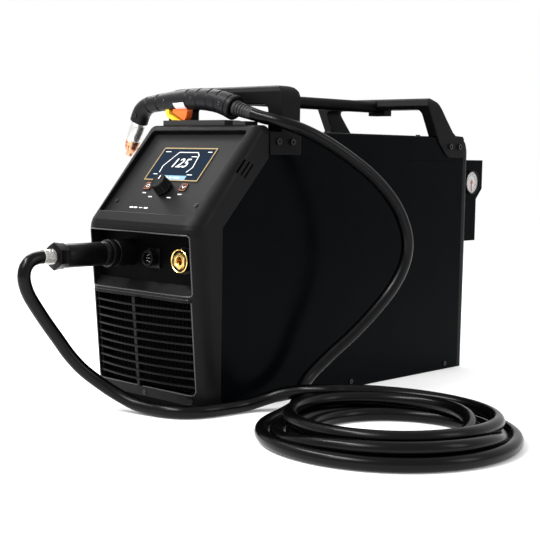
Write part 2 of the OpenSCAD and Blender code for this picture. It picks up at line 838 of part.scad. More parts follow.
module torch_head() {
    color(grey) difference() {
        union() {
            for (i = [0, 1]) hull() for (p = [HEAD[i], HEAD[i + 1]])
                translate([p[0], torch_y, p[1]]) sphere(r = p[2], $fn = 32);
            cup_axis() cylinder(r = 15.6, h = collar_h);
            along_x([torch_y, 455], -156, -125, 6.9);
        }
        translate([-150, torch_y, 453]) rotate([0, 90, 0]) difference() {
            cylinder(r = 40, h = 60);
            translate([-2, 0, -1]) cylinder(r = 6.9, h = 62);
        }
        cup_axis() translate([0, 0, 2]) cylinder(r = cup_r + fit, h = collar_h);
    }
}

module torch_cup() {
    color([0.7, 0.7, 0.72]) cup_axis() rotate_extrude()
        polygon([[8, 2], [cup_r, 2], [cup_r, collar_h + 4], [11.8, tip_h], [8, tip_h]]);
}

module torch_tip() {
    color([0.72, 0.42, 0.25]) cup_axis() difference() {
        rotate_extrude() polygon([[0, 2.2], [8 - fit, 2.2], [8 - fit, tip_h], [11.8, tip_h],
            [11.8, tip_h + 11], [10, tip_h + 15], [6.5, tip_h + 21], [5, tip_h + 28],
            [0, tip_h + 28]]);
        translate([0, 0, tip_h + 20]) cylinder(r = 0.8, h = 12);
    }
}

module torch_trigger() {
    color([0.9, 0.35, 0.05]) {
        torch_plate(12, [[-89, 448], [-89, 440.5], [-66, 428.8], [-61, 428.2], [-57.5, 433],
            [-55.5, 442], [-55, 454], [-60, 457.5], [-66, 455], [-88, 451]]);
        along_y(trigger_at, torch_y - 6.2, torch_y + 6.2, 3);
        along_y(trigger_at, torch_y - 12.5, torch_y + 12.5, pivot_r);
    }
}

// A sliding catch: its wedge covers the trigger, its stem runs in the grip's slot.
module torch_safety() {
    color([0.9, 0.75, 0.1]) {
        torch_plate(12, [[-106.5, 440.4], [-106.5, 452.5], [-99.5, 452.5], [-98, 437.9],
            [-81, 430.5], [-71.6, 428.1], [-90.7, 428.6], [-102.8, 433.9]]);
        torch_plate(15, [[-105, 452.3], [-99.5, 452.3], [-99.5, 455.5], [-105, 455.5]]);
    }
}

module torch_strain_relief() {
    color(black) relief_axis() rotate_extrude()
        polygon([[0, -16], [8, -16], [8, 1.5], [11.5, 1.5], [11.5, 6], [9.8, 8], [9.8, 12],
            [11, 13], [11, 17], [9.8, 19], [9.8, 23], [10.6, 24], [10.6, 28], [9.8, 30],
            [9.8, 41], [0, 41]]);
}

// ---------- hose ----------
function tangent(P, i) = unit(P[min(i + 1, len(P) - 1)] - P[max(i - 1, 0)]);

// The side direction of each ring, carried along the route without twisting.
function sides(P, side, i = 0) = i == len(P) ? [] :
    let(t = tangent(P, i), s = unit(side - (side * t) * t)) concat([s], sides(P, s, i + 1));

function ring(c, t, s, r, n) = let(u = cross(t, s))
    [for (k = [0:n - 1]) c + r * (cos(360 * k / n) * s + sin(360 * k / n) * u)];

module tube(P, side, n = 12) {
    S = sides(P, side);
    m = len(P);
    points = [for (i = [0:m - 1], p = ring(P[i], tangent(P, i), S[i], hose_d / 2, n)) p];
    walls = [for (i = [0:m - 2], k = [0:n - 1])
        [i * n + k, i * n + (k + 1) % n, (i + 1) * n + (k + 1) % n, (i + 1) * n + k]];
    near_end = [for (k = [n - 1:-1:0]) k];
    far_end = [for (k = [0:n - 1]) (m - 1) * n + k];
    polyhedron(points, concat([near_end], [far_end], walls));
}

module hose_front() { color(black) tube(FRONT_ROUTE, [1, 0, 0]); }
module hose_rise() { color(black) tube(RISE_ROUTE, [0, 0, 1]); }

module hose_coil() {
    color(black) translate([coil_at[0], coil_at[1], 0]) rotate_extrude($fn = 96)
        translate([(coil_in + coil_out) / 2, coil_h / 2])
            rounded(coil_out - coil_in, coil_h, 9);
}

base_plate();
side_panel_left();
side_panel_right();
top_cover();
case_screws();
front_bezel();
front_grille();
control_fascia();
fascia_screws();
display_frame();
display_screen();
control_board();
encoder_plunger();
encoder_shaft();
control_knob();
button_left();
button_right();
connector_panel();
torch_socket();
cnc_socket();
work_socket();
work_contact();
torch_rest_mat();
front_hoop();
rear_hoop();
handle_bar();
hoop_bolts();
rear_bezel();
rear_panel();
fan_guard();
fan_frame();
fan_rotor();
mains_gland();
mains_switch_base();
mains_switch_knob();
heatsink();
inverter_board();
transformer();
regulator_bracket();
regulator_body();
regulator_bowl();
regulator_knob();
gauge_case();
gauge_dial();
gauge_needle();
air_inlet();
plug_body();
plug_nut();
plug_gland();
torch_handle_front();
torch_handle_back();
torch_head();
torch_cup();
torch_tip();
torch_trigger();
torch_safety();
torch_strain_relief();
hose_front();
hose_coil();
hose_rise();
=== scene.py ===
import math

import bmesh
import bpy
from mathutils import Matrix, Vector


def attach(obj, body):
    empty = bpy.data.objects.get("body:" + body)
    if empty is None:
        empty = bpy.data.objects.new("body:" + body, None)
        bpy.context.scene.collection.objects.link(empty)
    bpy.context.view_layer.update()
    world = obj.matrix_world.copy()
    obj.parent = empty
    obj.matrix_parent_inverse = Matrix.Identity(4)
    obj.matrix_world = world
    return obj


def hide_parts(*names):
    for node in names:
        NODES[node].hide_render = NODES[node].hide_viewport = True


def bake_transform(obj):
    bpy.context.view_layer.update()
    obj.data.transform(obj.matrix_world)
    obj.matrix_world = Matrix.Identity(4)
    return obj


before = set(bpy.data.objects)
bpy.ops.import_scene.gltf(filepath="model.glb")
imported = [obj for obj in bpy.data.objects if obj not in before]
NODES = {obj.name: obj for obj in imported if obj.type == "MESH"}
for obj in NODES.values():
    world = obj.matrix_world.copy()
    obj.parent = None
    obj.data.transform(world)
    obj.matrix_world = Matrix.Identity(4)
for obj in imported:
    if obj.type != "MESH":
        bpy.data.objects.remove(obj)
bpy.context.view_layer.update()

scene = bpy.context.scene
MM = 0.001


# ---------- camera ----------
# The photo's camera, found by matching the case's corners: metres, degrees, and mm for the lens.
CAMERA_AT = (1.362, -1.493, 0.375)
AZIMUTH, PITCH, ROLL = 43.66, 5.46, 0.91
LENS, SENSOR = 80, 36


def make_camera():
    az, pitch, roll = (math.radians(a) for a in (AZIMUTH, PITCH, ROLL))
    back = Vector((math.sin(az) * math.cos(pitch), -math.cos(az) * math.cos(pitch), math.sin(pitch)))
    right = Vector((0, 0, 1)).cross(back).normalized()
    up = back.cross(right)
    rolled_right = right * math.cos(roll) + up * math.sin(roll)
    rolled_up = up * math.cos(roll) - right * math.sin(roll)
    data = bpy.data.cameras.new("camera")
    data.lens, data.sensor_width = LENS, SENSOR
    data.clip_start, data.clip_end = 0.05, 50
    cam = bpy.data.objects.new("camera", data)
    turn = Matrix((rolled_right, rolled_up, back)).transposed().to_4x4()
    cam.matrix_world = Matrix.Translation(CAMERA_AT) @ turn
    scene.collection.objects.link(cam)
    scene.camera = cam


make_camera()


# ---------- mesh helpers ----------
HEX_CORNER = 0.955  # the round radius, for a hexagon's corner at 1
MIN_MITRE = 0.35  # keeps a ribbon's sharp corners short
NO_LENGTH = 1e-9
WELD = 1e-6


def mark_sharp(bm, degrees):
    """Edges steeper than this are shaded sharp and the others smooth."""
    limit = math.radians(degrees)
    for e in bm.edges:
        e.smooth = not (len(e.link_faces) == 2 and e.calc_face_angle(0) > limit)


def obj_from(name, verts, faces, smooth=True, sharp=35):
    me = bpy.data.meshes.new(name)
    me.from_pydata([tuple(v) for v in verts], [], faces)
    bm = bmesh.new()
    bm.from_mesh(me)
    bmesh.ops.recalc_face_normals(bm, faces=bm.faces)
    for f in bm.faces:
        f.smooth = smooth
    mark_sharp(bm, sharp)
    bm.to_mesh(me)
    bm.free()
    ob = bpy.data.objects.new(name, me)
    scene.collection.objects.link(ob)
    return ob


def pose_at(x, y, z, degrees, axis):
    """A matrix for a turn about one axis and then a move in mm."""
    return Matrix.Translation(Vector((x, y, z)) * MM) @ Matrix.Rotation(math.radians(degrees), 4, axis)


def place(ob, matrix):
    ob.data.transform(matrix)
    return ob


def facing_front(ob, x, y, z):
    """A turned piece, with its axis along -Y."""
    return place(ob, pose_at(x, y, z, 90, "X"))


def facing_side(ob, x, y, z):
    """A turned piece, with its axis along +X."""
    return place(ob, pose_at(x, y, z, 90, "Z") @ Matrix.Rotation(math.radians(90), 4, "X"))


def finish_piece(ob, body, look, replaces=()):
    """The looks, the body it moves with and the CAD nodes it stands in for."""
    ob.data.materials.clear()
    ob.data.materials.append(look)
    if body:
        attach(ob, body)
    if replaces:
        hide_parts(*replaces)
    return ob


def lathe(name, profile, n=48, wave=None):
    """A turned piece. The profile is (radius, height) in mm about +Z, and wave(angle, index) is a
    scale for the radius of the profile's point of that index."""
    verts, faces = [], []
    m = len(profile)
    for k in range(n):
        a = 2 * math.pi * k / n
        for i, (r, z) in enumerate(profile):
            q = r * (wave(a, i) if wave else 1)
            verts.append((q * math.cos(a) * MM, q * math.sin(a) * MM, z * MM))
    for k in range(n):
        for i in range(m - 1):
            a, b = k * m + i, ((k + 1) % n) * m + i
            faces.append((a, b, b + 1, a + 1))
    ob = obj_from(name, verts, faces)
    bm = bmesh.new()
    bm.from_mesh(ob.data)
    bmesh.ops.remove_doubles(bm, verts=bm.verts, dist=WELD)
    bmesh.ops.dissolve_degenerate(bm, edges=bm.edges, dist=WELD / 10)
    bmesh.ops.recalc_face_normals(bm, faces=bm.faces)
    bm.to_mesh(ob.data)
    bm.free()
    return ob


def knurl(teeth, depth, first, last):
    """A wave for lathe: soft teeth on the profile's points from first to last."""
    def scale(a, i):
        return 1 - (depth * (0.5 + 0.5 * math.cos(teeth * a)) if first <= i <= last else 0)
    return scale


def hexagon(sharp):
    """A wave for lathe: 0 leaves the piece round and 1 makes it a full hexagon of about its size."""
    def scale(a, i):
        w = (a + math.pi / 6) % (math.pi / 3) - math.pi / 6
        return 1 + (math.cos(math.pi / 6) / math.cos(w) / HEX_CORNER - 1) * sharp
    return scale


def prism(name, outline, depth, z=0.0):
    """A closed outline in mm, extruded from z up by depth."""
    n = len(outline)
    verts = [(x * MM, y * MM, z * MM) for x, y in outline]
    verts += [(x * MM, y * MM, (z + depth) * MM) for x, y in outline]
    faces = [tuple(range(n))[::-1], tuple(range(n, 2 * n))]
    faces += [(i, (i + 1) % n, n + (i + 1) % n, n + i) for i in range(n)]
    return obj_from(name, verts, faces, smooth=False)


def polar(r, degrees):
    a = math.radians(degrees)
    return r * math.cos(a), r * math.sin(a)


def circle(r, cx, cy, sides=24):
    angles = [2 * math.pi * k / sides for k in range(sides)]
    return [(cx + r * math.cos(a), cy + r * math.sin(a)) for a in angles]


def round_rect(w, h, r, cx=0.0, cy=0.0, steps=6):
    pts = []
    for sx, sy, start in ((1, 1, 0), (-1, 1, 90), (-1, -1, 180), (1, -1, 270)):
        for k in range(steps + 1):
            x, y = polar(r, start + 90 * k / steps)
            pts.append((cx + sx * (w / 2 - r) + x, cy + sy * (h / 2 - r) + y))
    return pts


def ribbon(name, line, width, thick, z, closed=False):
    """A flat stroke of even width along a line of (x, y) in mm."""
    n = len(line)
    verts, faces = [], []
    for i, p in enumerate(line):
        p = Vector(p)
        a = Vector(line[i - 1]) if (i > 0 or closed) else p
        b = Vector(line[(i + 1) % n]) if (i < n - 1 or closed) else p
        d1 = (p - a).normalized() if (p - a).length > NO_LENGTH else (b - p).normalized()
        d2 = (b - p).normalized() if (b - p).length > NO_LENGTH else d1
        t = (d1 + d2).normalized()
        side = Vector((-t.y, t.x))
        k = width / 2 / max(MIN_MITRE, abs(side.dot(Vector((-d1.y, d1.x)))))
        for s in (1, -1):
            q = p + side * k * s
            verts.append((q.x * MM, q.y * MM, z * MM))
            verts.append((q.x * MM, q.y * MM, (z + thick) * MM))
    for i in range(n if closed else n - 1):
        a, b = 4 * i, 4 * ((i + 1) % n)
        faces += [(a, b, b + 1, a + 1), (a + 2, a + 3, b + 3, b + 2),
                  (a + 1, b + 1, b + 3, a + 3), (a, a + 2, b + 2, b)]
    if not closed:
        faces += [(0, 1, 3, 2), (4 * n - 4, 4 * n - 2, 4 * n - 1, 4 * n - 3)]
    return obj_from(name, verts, faces, smooth=False)


def joined(name, parts):
    """One object from several, which are removed."""
    bm = bmesh.new()
    for p in parts:
        bm.from_mesh(p.data)
    me = bpy.data.meshes.new(name)
    bm.to_mesh(me)
    bm.free()
    for p in parts:
        bpy.data.objects.remove(p)
    ob = bpy.data.objects.new(name, me)
    scene.collection.objects.link(ob)
    return ob


def catmull_rom(a, b, c, d, t):
    """The curve's point between b and c, at t from 0 to 1."""
    return 0.5 * (2 * b + (c - a) * t + (2 * a - 5 * b + 4 * c - d) * t * t
                  + (3 * b - a - 3 * c + d) * t ** 3)


def catmull_rom_slope(a, b, c, d, t):
    return 0.5 * ((c - a) + 2 * (2 * a - 5 * b + 4 * c - d) * t + 3 * (3 * b - a - 3 * c + d) * t * t)


def smooth_path(points, step):
    """A Catmull-Rom line through the points, with a point about every step metres."""
    p = [Vector(q) for q in points]
    p = [2 * p[0] - p[1]] + p + [2 * p[-1] - p[-2]]
    out = []
    for i in range(1, len(p) - 2):
        n = max(2, round((p[i + 1] - p[i]).length / step))
        out += [catmull_rom(*p[i - 1:i + 3], k / n) for k in range(n)]
    out.append(p[-2])
    return out


def tube(name, path, radius, n=20):
    """A round bar along a path in metres, with flat ends."""
    verts, faces = [], []
    side = None
    for i, c in enumerate(path):
        t = (path[min(i + 1, len(path) - 1)] - path[max(i - 1, 0)]).normalized()
        if side is None:
            side = Vector((0, 0, 1)) if abs(t.z) < 0.9 else Vector((1, 0, 0))
        side = (side - t * side.dot(t)).normalized()
        up = t.cross(side)
        for k in range(n):
            a = 2 * math.pi * k / n
            verts.append(c + radius * (math.cos(a) * side + math.sin(a) * up))
    for i in range(len(path) - 1):
        for k in range(n):
            a, b = i * n + k, i * n + (k + 1) % n
            faces.append((a, b, b + n, a + n))
    faces.append(tuple(range(n))[::-1])
    faces.append(tuple(range(len(verts) - n, len(verts))))
    return obj_from(name, verts, faces, sharp=60)


# ---------- materials ----------
GLASS_IOR = 1.45
SMEAR_MM = 38  # the size of the patches where the roughness differs


def material(name, base, rough, metal=0.0, spec=0.5, grain=None, mottle=None, smear=0.0, edge=0.0,
             emit=None, glass=0.0):
    """grain is (size in mm, height in mm, strength) and mottle (size in mm, second colour, share).
    smear is how far the roughness strays, edge the radius in mm that edges are shaded round with, and
    emit (red, green, blue, strength)."""
    m = bpy.data.materials.new(name)
    m.use_nodes = True
    nt = m.node_tree
    b = nt.nodes["Principled BSDF"]
    b.inputs["Base Color"].default_value = (*base, 1)
    b.inputs["Roughness"].default_value = rough
    b.inputs["Metallic"].default_value = metal
    b.inputs["Specular IOR Level"].default_value = spec
    if glass:
        b.inputs["Transmission Weight"].default_value = glass
        b.inputs["IOR"].default_value = GLASS_IOR
    if emit:
        b.inputs["Emission Color"].default_value = (*emit[:3], 1)
        b.inputs["Emission Strength"].default_value = emit[3]
    coord = nt.nodes.new("ShaderNodeTexCoord")

    def noise(size_mm, detail=3.0):
        n = nt.nodes.new("ShaderNodeTexNoise")
        n.inputs["Scale"].default_value = 1000.0 / size_mm
        n.inputs["Detail"].default_value = detail
        n.inputs["Roughness"].default_value = 0.55
        nt.links.new(coord.outputs["Object"], n.inputs["Vector"])
        return n

    if mottle:
        size, second, share = mottle
        n = noise(size)
        ramp = nt.nodes.new("ShaderNodeValToRGB")
        ramp.color_ramp.elements[0].position = 0.5 - share / 2
        ramp.color_ramp.elements[1].position = 0.5 + share / 2
        ramp.color_ramp.elements[0].color = (*base, 1)
        ramp.color_ramp.elements[1].color = (*second, 1)
        nt.links.new(n.outputs["Fac"], ramp.inputs["Fac"])
        nt.links.new(ramp.outputs["Color"], b.inputs["Base Color"])
    if smear:
        n = noise(SMEAR_MM, 4)
        spread = nt.nodes.new("ShaderNodeMapRange")
        spread.inputs["From Min"].default_value = 0.3
        spread.inputs["From Max"].default_value = 0.7
        spread.inputs["To Min"].default_value = max(0.02, rough - smear)
        spread.inputs["To Max"].default_value = min(1.0, rough + smear)
        nt.links.new(n.outputs["Fac"], spread.inputs["Value"])
        nt.links.new(spread.outputs["Result"], b.inputs["Roughness"])
    normal = None
    if edge:
        bev = nt.nodes.new("ShaderNodeBevel")
        bev.samples = 4
        bev.inputs["Radius"].default_value = edge * MM
        normal = bev.outputs["Normal"]
    if grain:
        size, height, strength = grain
        n = noise(size, 2)
        bump = nt.nodes.new("ShaderNodeBump")
        bump.inputs["Strength"].default_value = strength
        bump.inputs["Distance"].default_value = height * MM
        nt.links.new(n.outputs["Fac"], bump.inputs["Height"])
        if normal:
            nt.links.new(normal, bump.inputs["Normal"])
        normal = bump.outputs["Normal"]
    if normal:
        nt.links.new(normal, b.inputs["Normal"])
    return m


# The blacks are darker than real paint: they are matched to the photo's exposure.
M = {
    "panel": material("sheet_gloss_black", (0.0008, 0.0012, 0.0016), 0.2, spec=0.018,
                      grain=(1.6, 0.05, 0.12), mottle=(60, (0.0011, 0.0016, 0.002), 0.5), smear=0.05,
                      edge=0.3),
    "bezel": material("bezel_satin", (0.0022, 0.0021, 0.0024), 0.42, spec=0.09, grain=(0.5, 0.05, 0.3),
                      mottle=(18, (0.0032, 0.003, 0.0034), 0.6), smear=0.06, edge=1.6),
    # The rims' lighter grey is a painted highlight along the bezel's edges.
    "rim": material("bezel_rim_painted_highlight", (0.02, 0.02, 0.022), 0.22, spec=0.5, grain=(0.5, 0.03, 0.2),
                    mottle=(18, (0.026, 0.026, 0.028), 0.6)),
    "fascia": material("fascia_grey", (0.0036, 0.0036, 0.0042), 0.38, spec=0.11, grain=(0.4, 0.03, 0.3),
                       mottle=(25, (0.0046, 0.0046, 0.0052), 0.6), edge=0.6),
    "hoop": material("hoop_textured", (0.0017, 0.0016, 0.0018), 0.48, spec=0.07, grain=(0.7, 0.12, 0.6),
                     mottle=(10, (0.0026, 0.0024, 0.0027), 0.6), edge=3.0),
    "socket": material("socket_black", (0.0014, 0.0014, 0.0016), 0.3, spec=0.1, grain=(0.6, 0.03, 0.2),
                       mottle=(12, (0.0022, 0.0021, 0.0024), 0.5), edge=0.5),
    "recess": material("recess_black", (0.0006, 0.0006, 0.0007), 0.45, spec=0.02, grain=(0.5, 0.03, 0.3),
                       mottle=(15, (0.001, 0.001, 0.0011), 0.5), edge=0.4),
    "steel": material("nickel_plate", (0.62, 0.61, 0.59), 0.24, metal=1, grain=(0.8, 0.02, 0.2),
                      mottle=(5, (0.5, 0.49, 0.47), 0.5), smear=0.08, edge=0.3),
    "screw": material("screw_black_zinc", (0.05, 0.05, 0.054), 0.35, metal=1, grain=(0.6, 0.03, 0.3),
                      mottle=(2, (0.03, 0.03, 0.032), 0.5), edge=0.3),
    "brass": material("brass_turned", (0.95, 0.69, 0.25), 0.2, metal=1, grain=(0.4, 0.02, 0.25),
                      mottle=(3, (0.82, 0.56, 0.18), 0.5), edge=0.3),
    "copper": material("copper_used", (0.78, 0.4, 0.24), 0.3, metal=1, grain=(0.5, 0.03, 0.3),
                       mottle=(4, (0.5, 0.26, 0.16), 0.5), smear=0.1, edge=0.3),
    "alloy": material("cast_alloy", (0.5, 0.51, 0.52), 0.42, metal=1, grain=(0.9, 0.08, 0.4),
                      mottle=(6, (0.42, 0.43, 0.44), 0.5), edge=0.8),
    "board": material("board_green", (0.01, 0.07, 0.035), 0.35, grain=(1.5, 0.05, 0.3),
                      mottle=(4, (0.02, 0.11, 0.05), 0.3), edge=0.3),
    "winding": material("winding_tape", (0.2, 0.1, 0.03), 0.55, grain=(1, 0.08, 0.4),
                        mottle=(3, (0.28, 0.14, 0.05), 0.5)),
    "rubber": material("mat_rubber", (0.009, 0.009, 0.0098), 0.55, spec=0.3, grain=(0.8, 0.1, 0.5),
                       mottle=(8, (0.0125, 0.0124, 0.013), 0.5), edge=0.8),
    "grip": material("torch_grip", (0.0038, 0.0037, 0.0045), 0.42, spec=0.14, grain=(0.6, 0.14, 0.7),
                     mottle=(6, (0.006, 0.0058, 0.0068), 0.6), smear=0.06),
    "hose": material("hose_jacket", (0.0004, 0.0004, 0.0005), 0.25, spec=0.13, grain=(2.2, 0.05, 0.15),
                     mottle=(30, (0.0009, 0.0009, 0.001), 0.6), smear=0.05),
    "orange": material("trigger_orange", (0.85, 0.13, 0.01), 0.35, grain=(0.6, 0.03, 0.3),
                       mottle=(4, (0.72, 0.1, 0.01), 0.5), edge=1.0),
    "yellow": material("safety_yellow", (0.85, 0.52, 0.02), 0.35, grain=(0.6, 0.03, 0.3),
                       mottle=(4, (0.75, 0.45, 0.02), 0.5), edge=0.6),
    "gold": material("frame_line", (0.3, 0.22, 0.09), 0.35, metal=0.5, grain=(0.6, 0.02, 0.2),
                     mottle=(8, (0.24, 0.17, 0.07), 0.5), edge=0.3),
    "screen": material("screen_glass", (0.002, 0.006, 0.013), 0.15, spec=0.05,
                       emit=(0.005, 0.02, 0.05, 0.25), mottle=(30, (0.003, 0.008, 0.017), 0.8)),
    # White print with a faint glow: real light on the screen's figures, painted glow on the printed
    # marks, the grip's label and the knob's tick.
    "white_mark_glowing": material("white_print_glowing", (0.82, 0.82, 0.82), 0.4, mottle=(2, (0.74, 0.74, 0.74), 0.5),
                           emit=(0.9, 0.95, 1.0, 0.06)),
    "blue_bar": material("screen_bar", (0.1, 0.2, 0.3), 0.3, emit=(0.14, 0.3, 0.46, 0.3),
                         mottle=(10, (0.12, 0.24, 0.34), 0.5)),
    "orange_line": material("orange_print", (0.62, 0.17, 0.06), 0.4, mottle=(2, (0.5, 0.13, 0.05), 0.5)),
    "dial": material("dial_white", (0.82, 0.82, 0.8), 0.45, mottle=(6, (0.78, 0.78, 0.75), 0.5),
                     grain=(0.6, 0.02, 0.2)),
    "ink": material("dial_ink", (0.02, 0.02, 0.02), 0.5, mottle=(1, (0.03, 0.03, 0.03), 0.5)),
    "red": material("pointer_red", (0.6, 0.03, 0.02), 0.4, mottle=(2, (0.5, 0.02, 0.015), 0.5), edge=0.2),
    "bowl": material("bowl_clear", (0.75, 0.78, 0.8), 0.1, glass=0.85,
                     mottle=(9, (0.66, 0.7, 0.74), 0.5)),
    "lens": material("lens_clear", (0.95, 0.95, 0.95), 0.03, glass=1.0),
    "silver": material("cup_silver", (0.72, 0.72, 0.72), 0.28, metal=0.9, grain=(0.5, 0.03, 0.3),
                       mottle=(4, (0.6, 0.59, 0.57), 0.5), smear=0.08),
    # Dark for the grip's seam, and painted shade on the sheet behind the grille.
    "dark": material("shade_sheet_and_seam_dark", (0.001, 0.001, 0.001), 0.8, spec=0.05,
                     mottle=(3, (0.002, 0.002, 0.002), 0.5)),
}

# What each look is worn by, of the CAD nodes.
CAD_LOOK = {
    "panel": "base_plate side_panel_left side_panel_right top_cover rear_panel regulator_bracket",
    "bezel": "front_bezel front_grille rear_bezel",
    "fascia": "control_fascia",
    "hoop": "front_hoop rear_hoop handle_bar",
    "screw": "case_screws fascia_screws hoop_bolts",
    "steel": "encoder_plunger encoder_shaft fan_guard plug_gland plug_nut",
    "gold": "display_frame",
    "screen": "display_screen",
    "board": "control_board inverter_board",
    "socket": "torch_socket control_knob button_left button_right cnc_socket work_socket fan_frame "
              "fan_rotor mains_gland mains_switch_base mains_switch_knob plug_body gauge_case "
              "regulator_knob",
    "recess": "connector_panel",
    "brass": "work_contact air_inlet",
    "rubber": "torch_rest_mat torch_strain_relief",
    "alloy": "heatsink regulator_body",
    "winding": "transformer",
    "bowl": "regulator_bowl",
    "dial": "gauge_dial",
    "red": "gauge_needle",
    "grip": "torch_handle_front torch_handle_back torch_head",
    "silver": "torch_cup",
    "copper": "torch_tip",
    "orange": "torch_trigger",
    "yellow": "torch_safety",
    "hose": "hose_front hose_coil hose_rise",
}
for look, names in CAD_LOOK.items():
    for node_name in names.split():
        NODES[node_name].data.materials.clear()
        NODES[node_name].data.materials.append(M[look])


# ---------- hose ----------
HOSE_R = 9.5
HOSE_STEP = 0.006  # metres between the rings of the hose's mesh
COIL_STEP = 8  # degrees
# The hose's middle in mm: from the plug down to the coil, and from the coil up to the torch.
FRONT_ROUTE = [(-42, -490.6, 226), (-42, -499, 225.3), (-42, -510, 221.5), (-42, -518, 213),
               (-42, -521, 201), (-42, -519, 188), (-42, -512, 172), (-41, -499, 152), (-39, -483, 129),
               (-35, -467, 106), (-29, -453, 84), (-20, -436, 62), (-6, -416, 42), (14, -400, 26),
               (40, -388, 14), (70, -380, 9.5), (98, -373, 9.5), (119, -358, 9.5), (131, -336, 9.5),
               (137, -310, 9.5), (140, -284, 9.5), (146, -258, 11.5), (160, -236, 19), (179, -221, 27),
               (197, -213, 31.5), (215, -206, 34.5)]
RISE_ROUTE = [(233, -301, 9.5), (225, -279, 9.5), (216, -257, 9.5), (206, -234, 9.5), (194, -212, 9.5),
              (180, -191, 13), (168, -170, 24), (163, -146, 42), (172, -112, 70), (188, -74, 103),
              (202, -36, 140), (214, -8, 176), (222, 7, 212), (225, 8, 245), (223, -3, 278),
              (217, -24, 311), (206, -56, 344), (192, -92, 371), (175, -126, 394), (160, -154, 409.5),
              (144, -178, 420), (126, -192, 427), (106, -197.5, 431.2), (87.2, -197.5, 435.8)]
# The coil's turns, from the torch's end: (angle in degrees, radius, height) about the coil's middle.
COIL_AT = (392, -244)
COIL_TURNS = [(200, 169, 9.5), (300, 168.5, 9.5), (400, 168.5, 9.5), (450, 168.5, 9.5), (530, 152, 9.5),
              (560, 149, 9.5), (600, 149, 10), (635, 152.5, 21), (660, 157, 25.1), (700, 157, 25.1),
              (725, 152.5, 21), (755, 149, 10), (810, 146, 9.5), (850, 141, 9.5), (880, 134, 9.5),
              (910, 129.5, 9.5), (960, 127, 9.5), (995, 134, 9.5), (1020, 145, 9.5), (1060, 145, 9.5),
              (1085, 134, 9.5), (1115, 128, 9.5), (1170, 125, 9.5), (1230, 113.5, 9.5),
              (1270, 108, 9.5), (1330, 104, 9.5), (1380, 112, 9.5), (1420, 108, 14), (1460, 107, 22),
              (1500, 112, 29), (1570, 130, 29.2), (1620, 139, 29.2), (1700, 124, 30), (1740, 132, 33),
              (1790, 135, 33), (1815, 136.5, 30.5), (1840, 145, 29.2), (1860, 148, 29.5),
              (1900, 148, 31), (1930, 151, 33.5), (1963, 161, 36.8)]


def hermite(u, span, a, b, slope_a, slope_b):
    """A cubic from a to b with these slopes, at u from 0 to 1."""
    return ((2 * u ** 3 - 3 * u ** 2 + 1) * a + (u ** 3 - 2 * u ** 2 + u) * span * slope_a
            + (3 * u ** 2 - 2 * u ** 3) * b + (u ** 3 - u ** 2) * span * slope_b)


def coil_points():
    keys = COIL_TURNS
    slope = []
    for i in range(len(keys)):
        a, b = keys[max(i - 1, 0)], keys[min(i + 1, len(keys) - 1)]
        slope.append([(b[j] - a[j]) / (b[0] - a[0]) for j in (1, 2)])
    out = []
    angle, i = keys[0][0], 0
    while angle <= keys[-1][0]:
        while i < len(keys) - 2 and angle >= keys[i + 1][0]:
            i += 1
        span = keys[i + 1][0] - keys[i][0]
        u = (angle - keys[i][0]) / span
        radius, height = (hermite(u, span, keys[i][j + 1], keys[i + 1][j + 1],
                                  slope[i][j], slope[i + 1][j]) for j in (0, 1))
        x, y = polar(radius, angle)
        out.append((COIL_AT[0] + x, COIL_AT[1] + y, height))
        angle += COIL_STEP
    return out


route = FRONT_ROUTE + coil_points()[::-1] + RISE_ROUTE[1:]
path = smooth_path([Vector(p) * MM for p in route], HOSE_STEP)
hose = tube("torch_hose", path, HOSE_R * MM, 24)
finish_piece(hose, None, M["hose"], ("hose_front", "hose_coil", "hose_rise"))
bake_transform(hose)


# ---------- torch ----------
TORCH_Y = -197.5
# The grip's middle, from the hose's end to the head: (x, z, radius) in mm.
GRIP_LINE = [(46, 446, 19.3), (41, 447.8, 19.3), (28, 452.2, 18.6), (10, 456.6, 17.9),
             (-10, 459.4, 17.4), (-30, 460.8, 16.9), (-55, 461.2, 16.2), (-85, 460, 15.2),
             (-112, 458.3, 14.3), (-135, 456.3, 14), (-150, 454.3, 14), (-160, 451, 14.6),
             (-168, 445.8, 15.2), (-173.5, 439.6, 15.5), (-179.5, 427.5, 15.6)]
GRIP_SPANS = len(GRIP_LINE) - 1
GRIP_WIDTH = 0.94  # the grip is a little narrower than it is tall
GRIP_RINGS, GRIP_SIDES = 300, 48
# Grooves round the grip, and the slot behind its collar: places along x, half width and depth.
GROOVE_X = (-149, -124, -52, -26.5, -2.5, 17)
GROOVE_HALF, GROOVE_DEPTH = 1.9, 1.6
COLLAR_X, COLLAR_DEPTH = (37.5, 40), 1.2
# Rings that round off the grip's ends, in the order of the mesh: (size, mm along the line).
HOSE_END = ((0.68, -0.2), (0.86, -1.4), (0.96, -1.0))
HEAD_END = ((0.97, 0.9), (0.9, 1.4), (0.8, 1.2), (0.76, -3), (0.3, -3))


def grip_at(u):
    """The middle and radius (x, z, r) of the grip at u, from 0 to GRIP_SPANS, and its direction."""
    i = min(int(u), GRIP_SPANS - 1)
    near_points = [GRIP_LINE[max(0, min(GRIP_SPANS, k))] for k in (i - 1, i, i + 1, i + 2)]
    x, z, r = (catmull_rom(*values, u - i) for values in zip(*near_points))
    dx, dz, _ = (catmull_rom_slope(*values, u - i) for values in zip(*near_points))
    return (x, z, r), Vector((dx, 0, dz)).normalized()


def grip_point(u, phi, lift=0.0):
    """The grip's surface at u along it and phi round it, in mm."""
    (x, z, r), t = grip_at(u)
    across = Vector((0, 1, 0))
    up = t.cross(across)
    if up.z < 0:
        up = -up
    q = r + lift
    return Vector((x, TORCH_Y, z)) + q * GRIP_WIDTH * math.cos(phi) * across + q * math.sin(phi) * up


def rounded_end(ring, u, steps):
    """Copies of an end ring, each with its own size and place along the line."""
    (x, z, _), t = grip_at(u)
    centre = Vector((x, TORCH_Y, z))
    return [[centre + (p - centre) * size + t * shift for p in ring] for size, shift in steps]


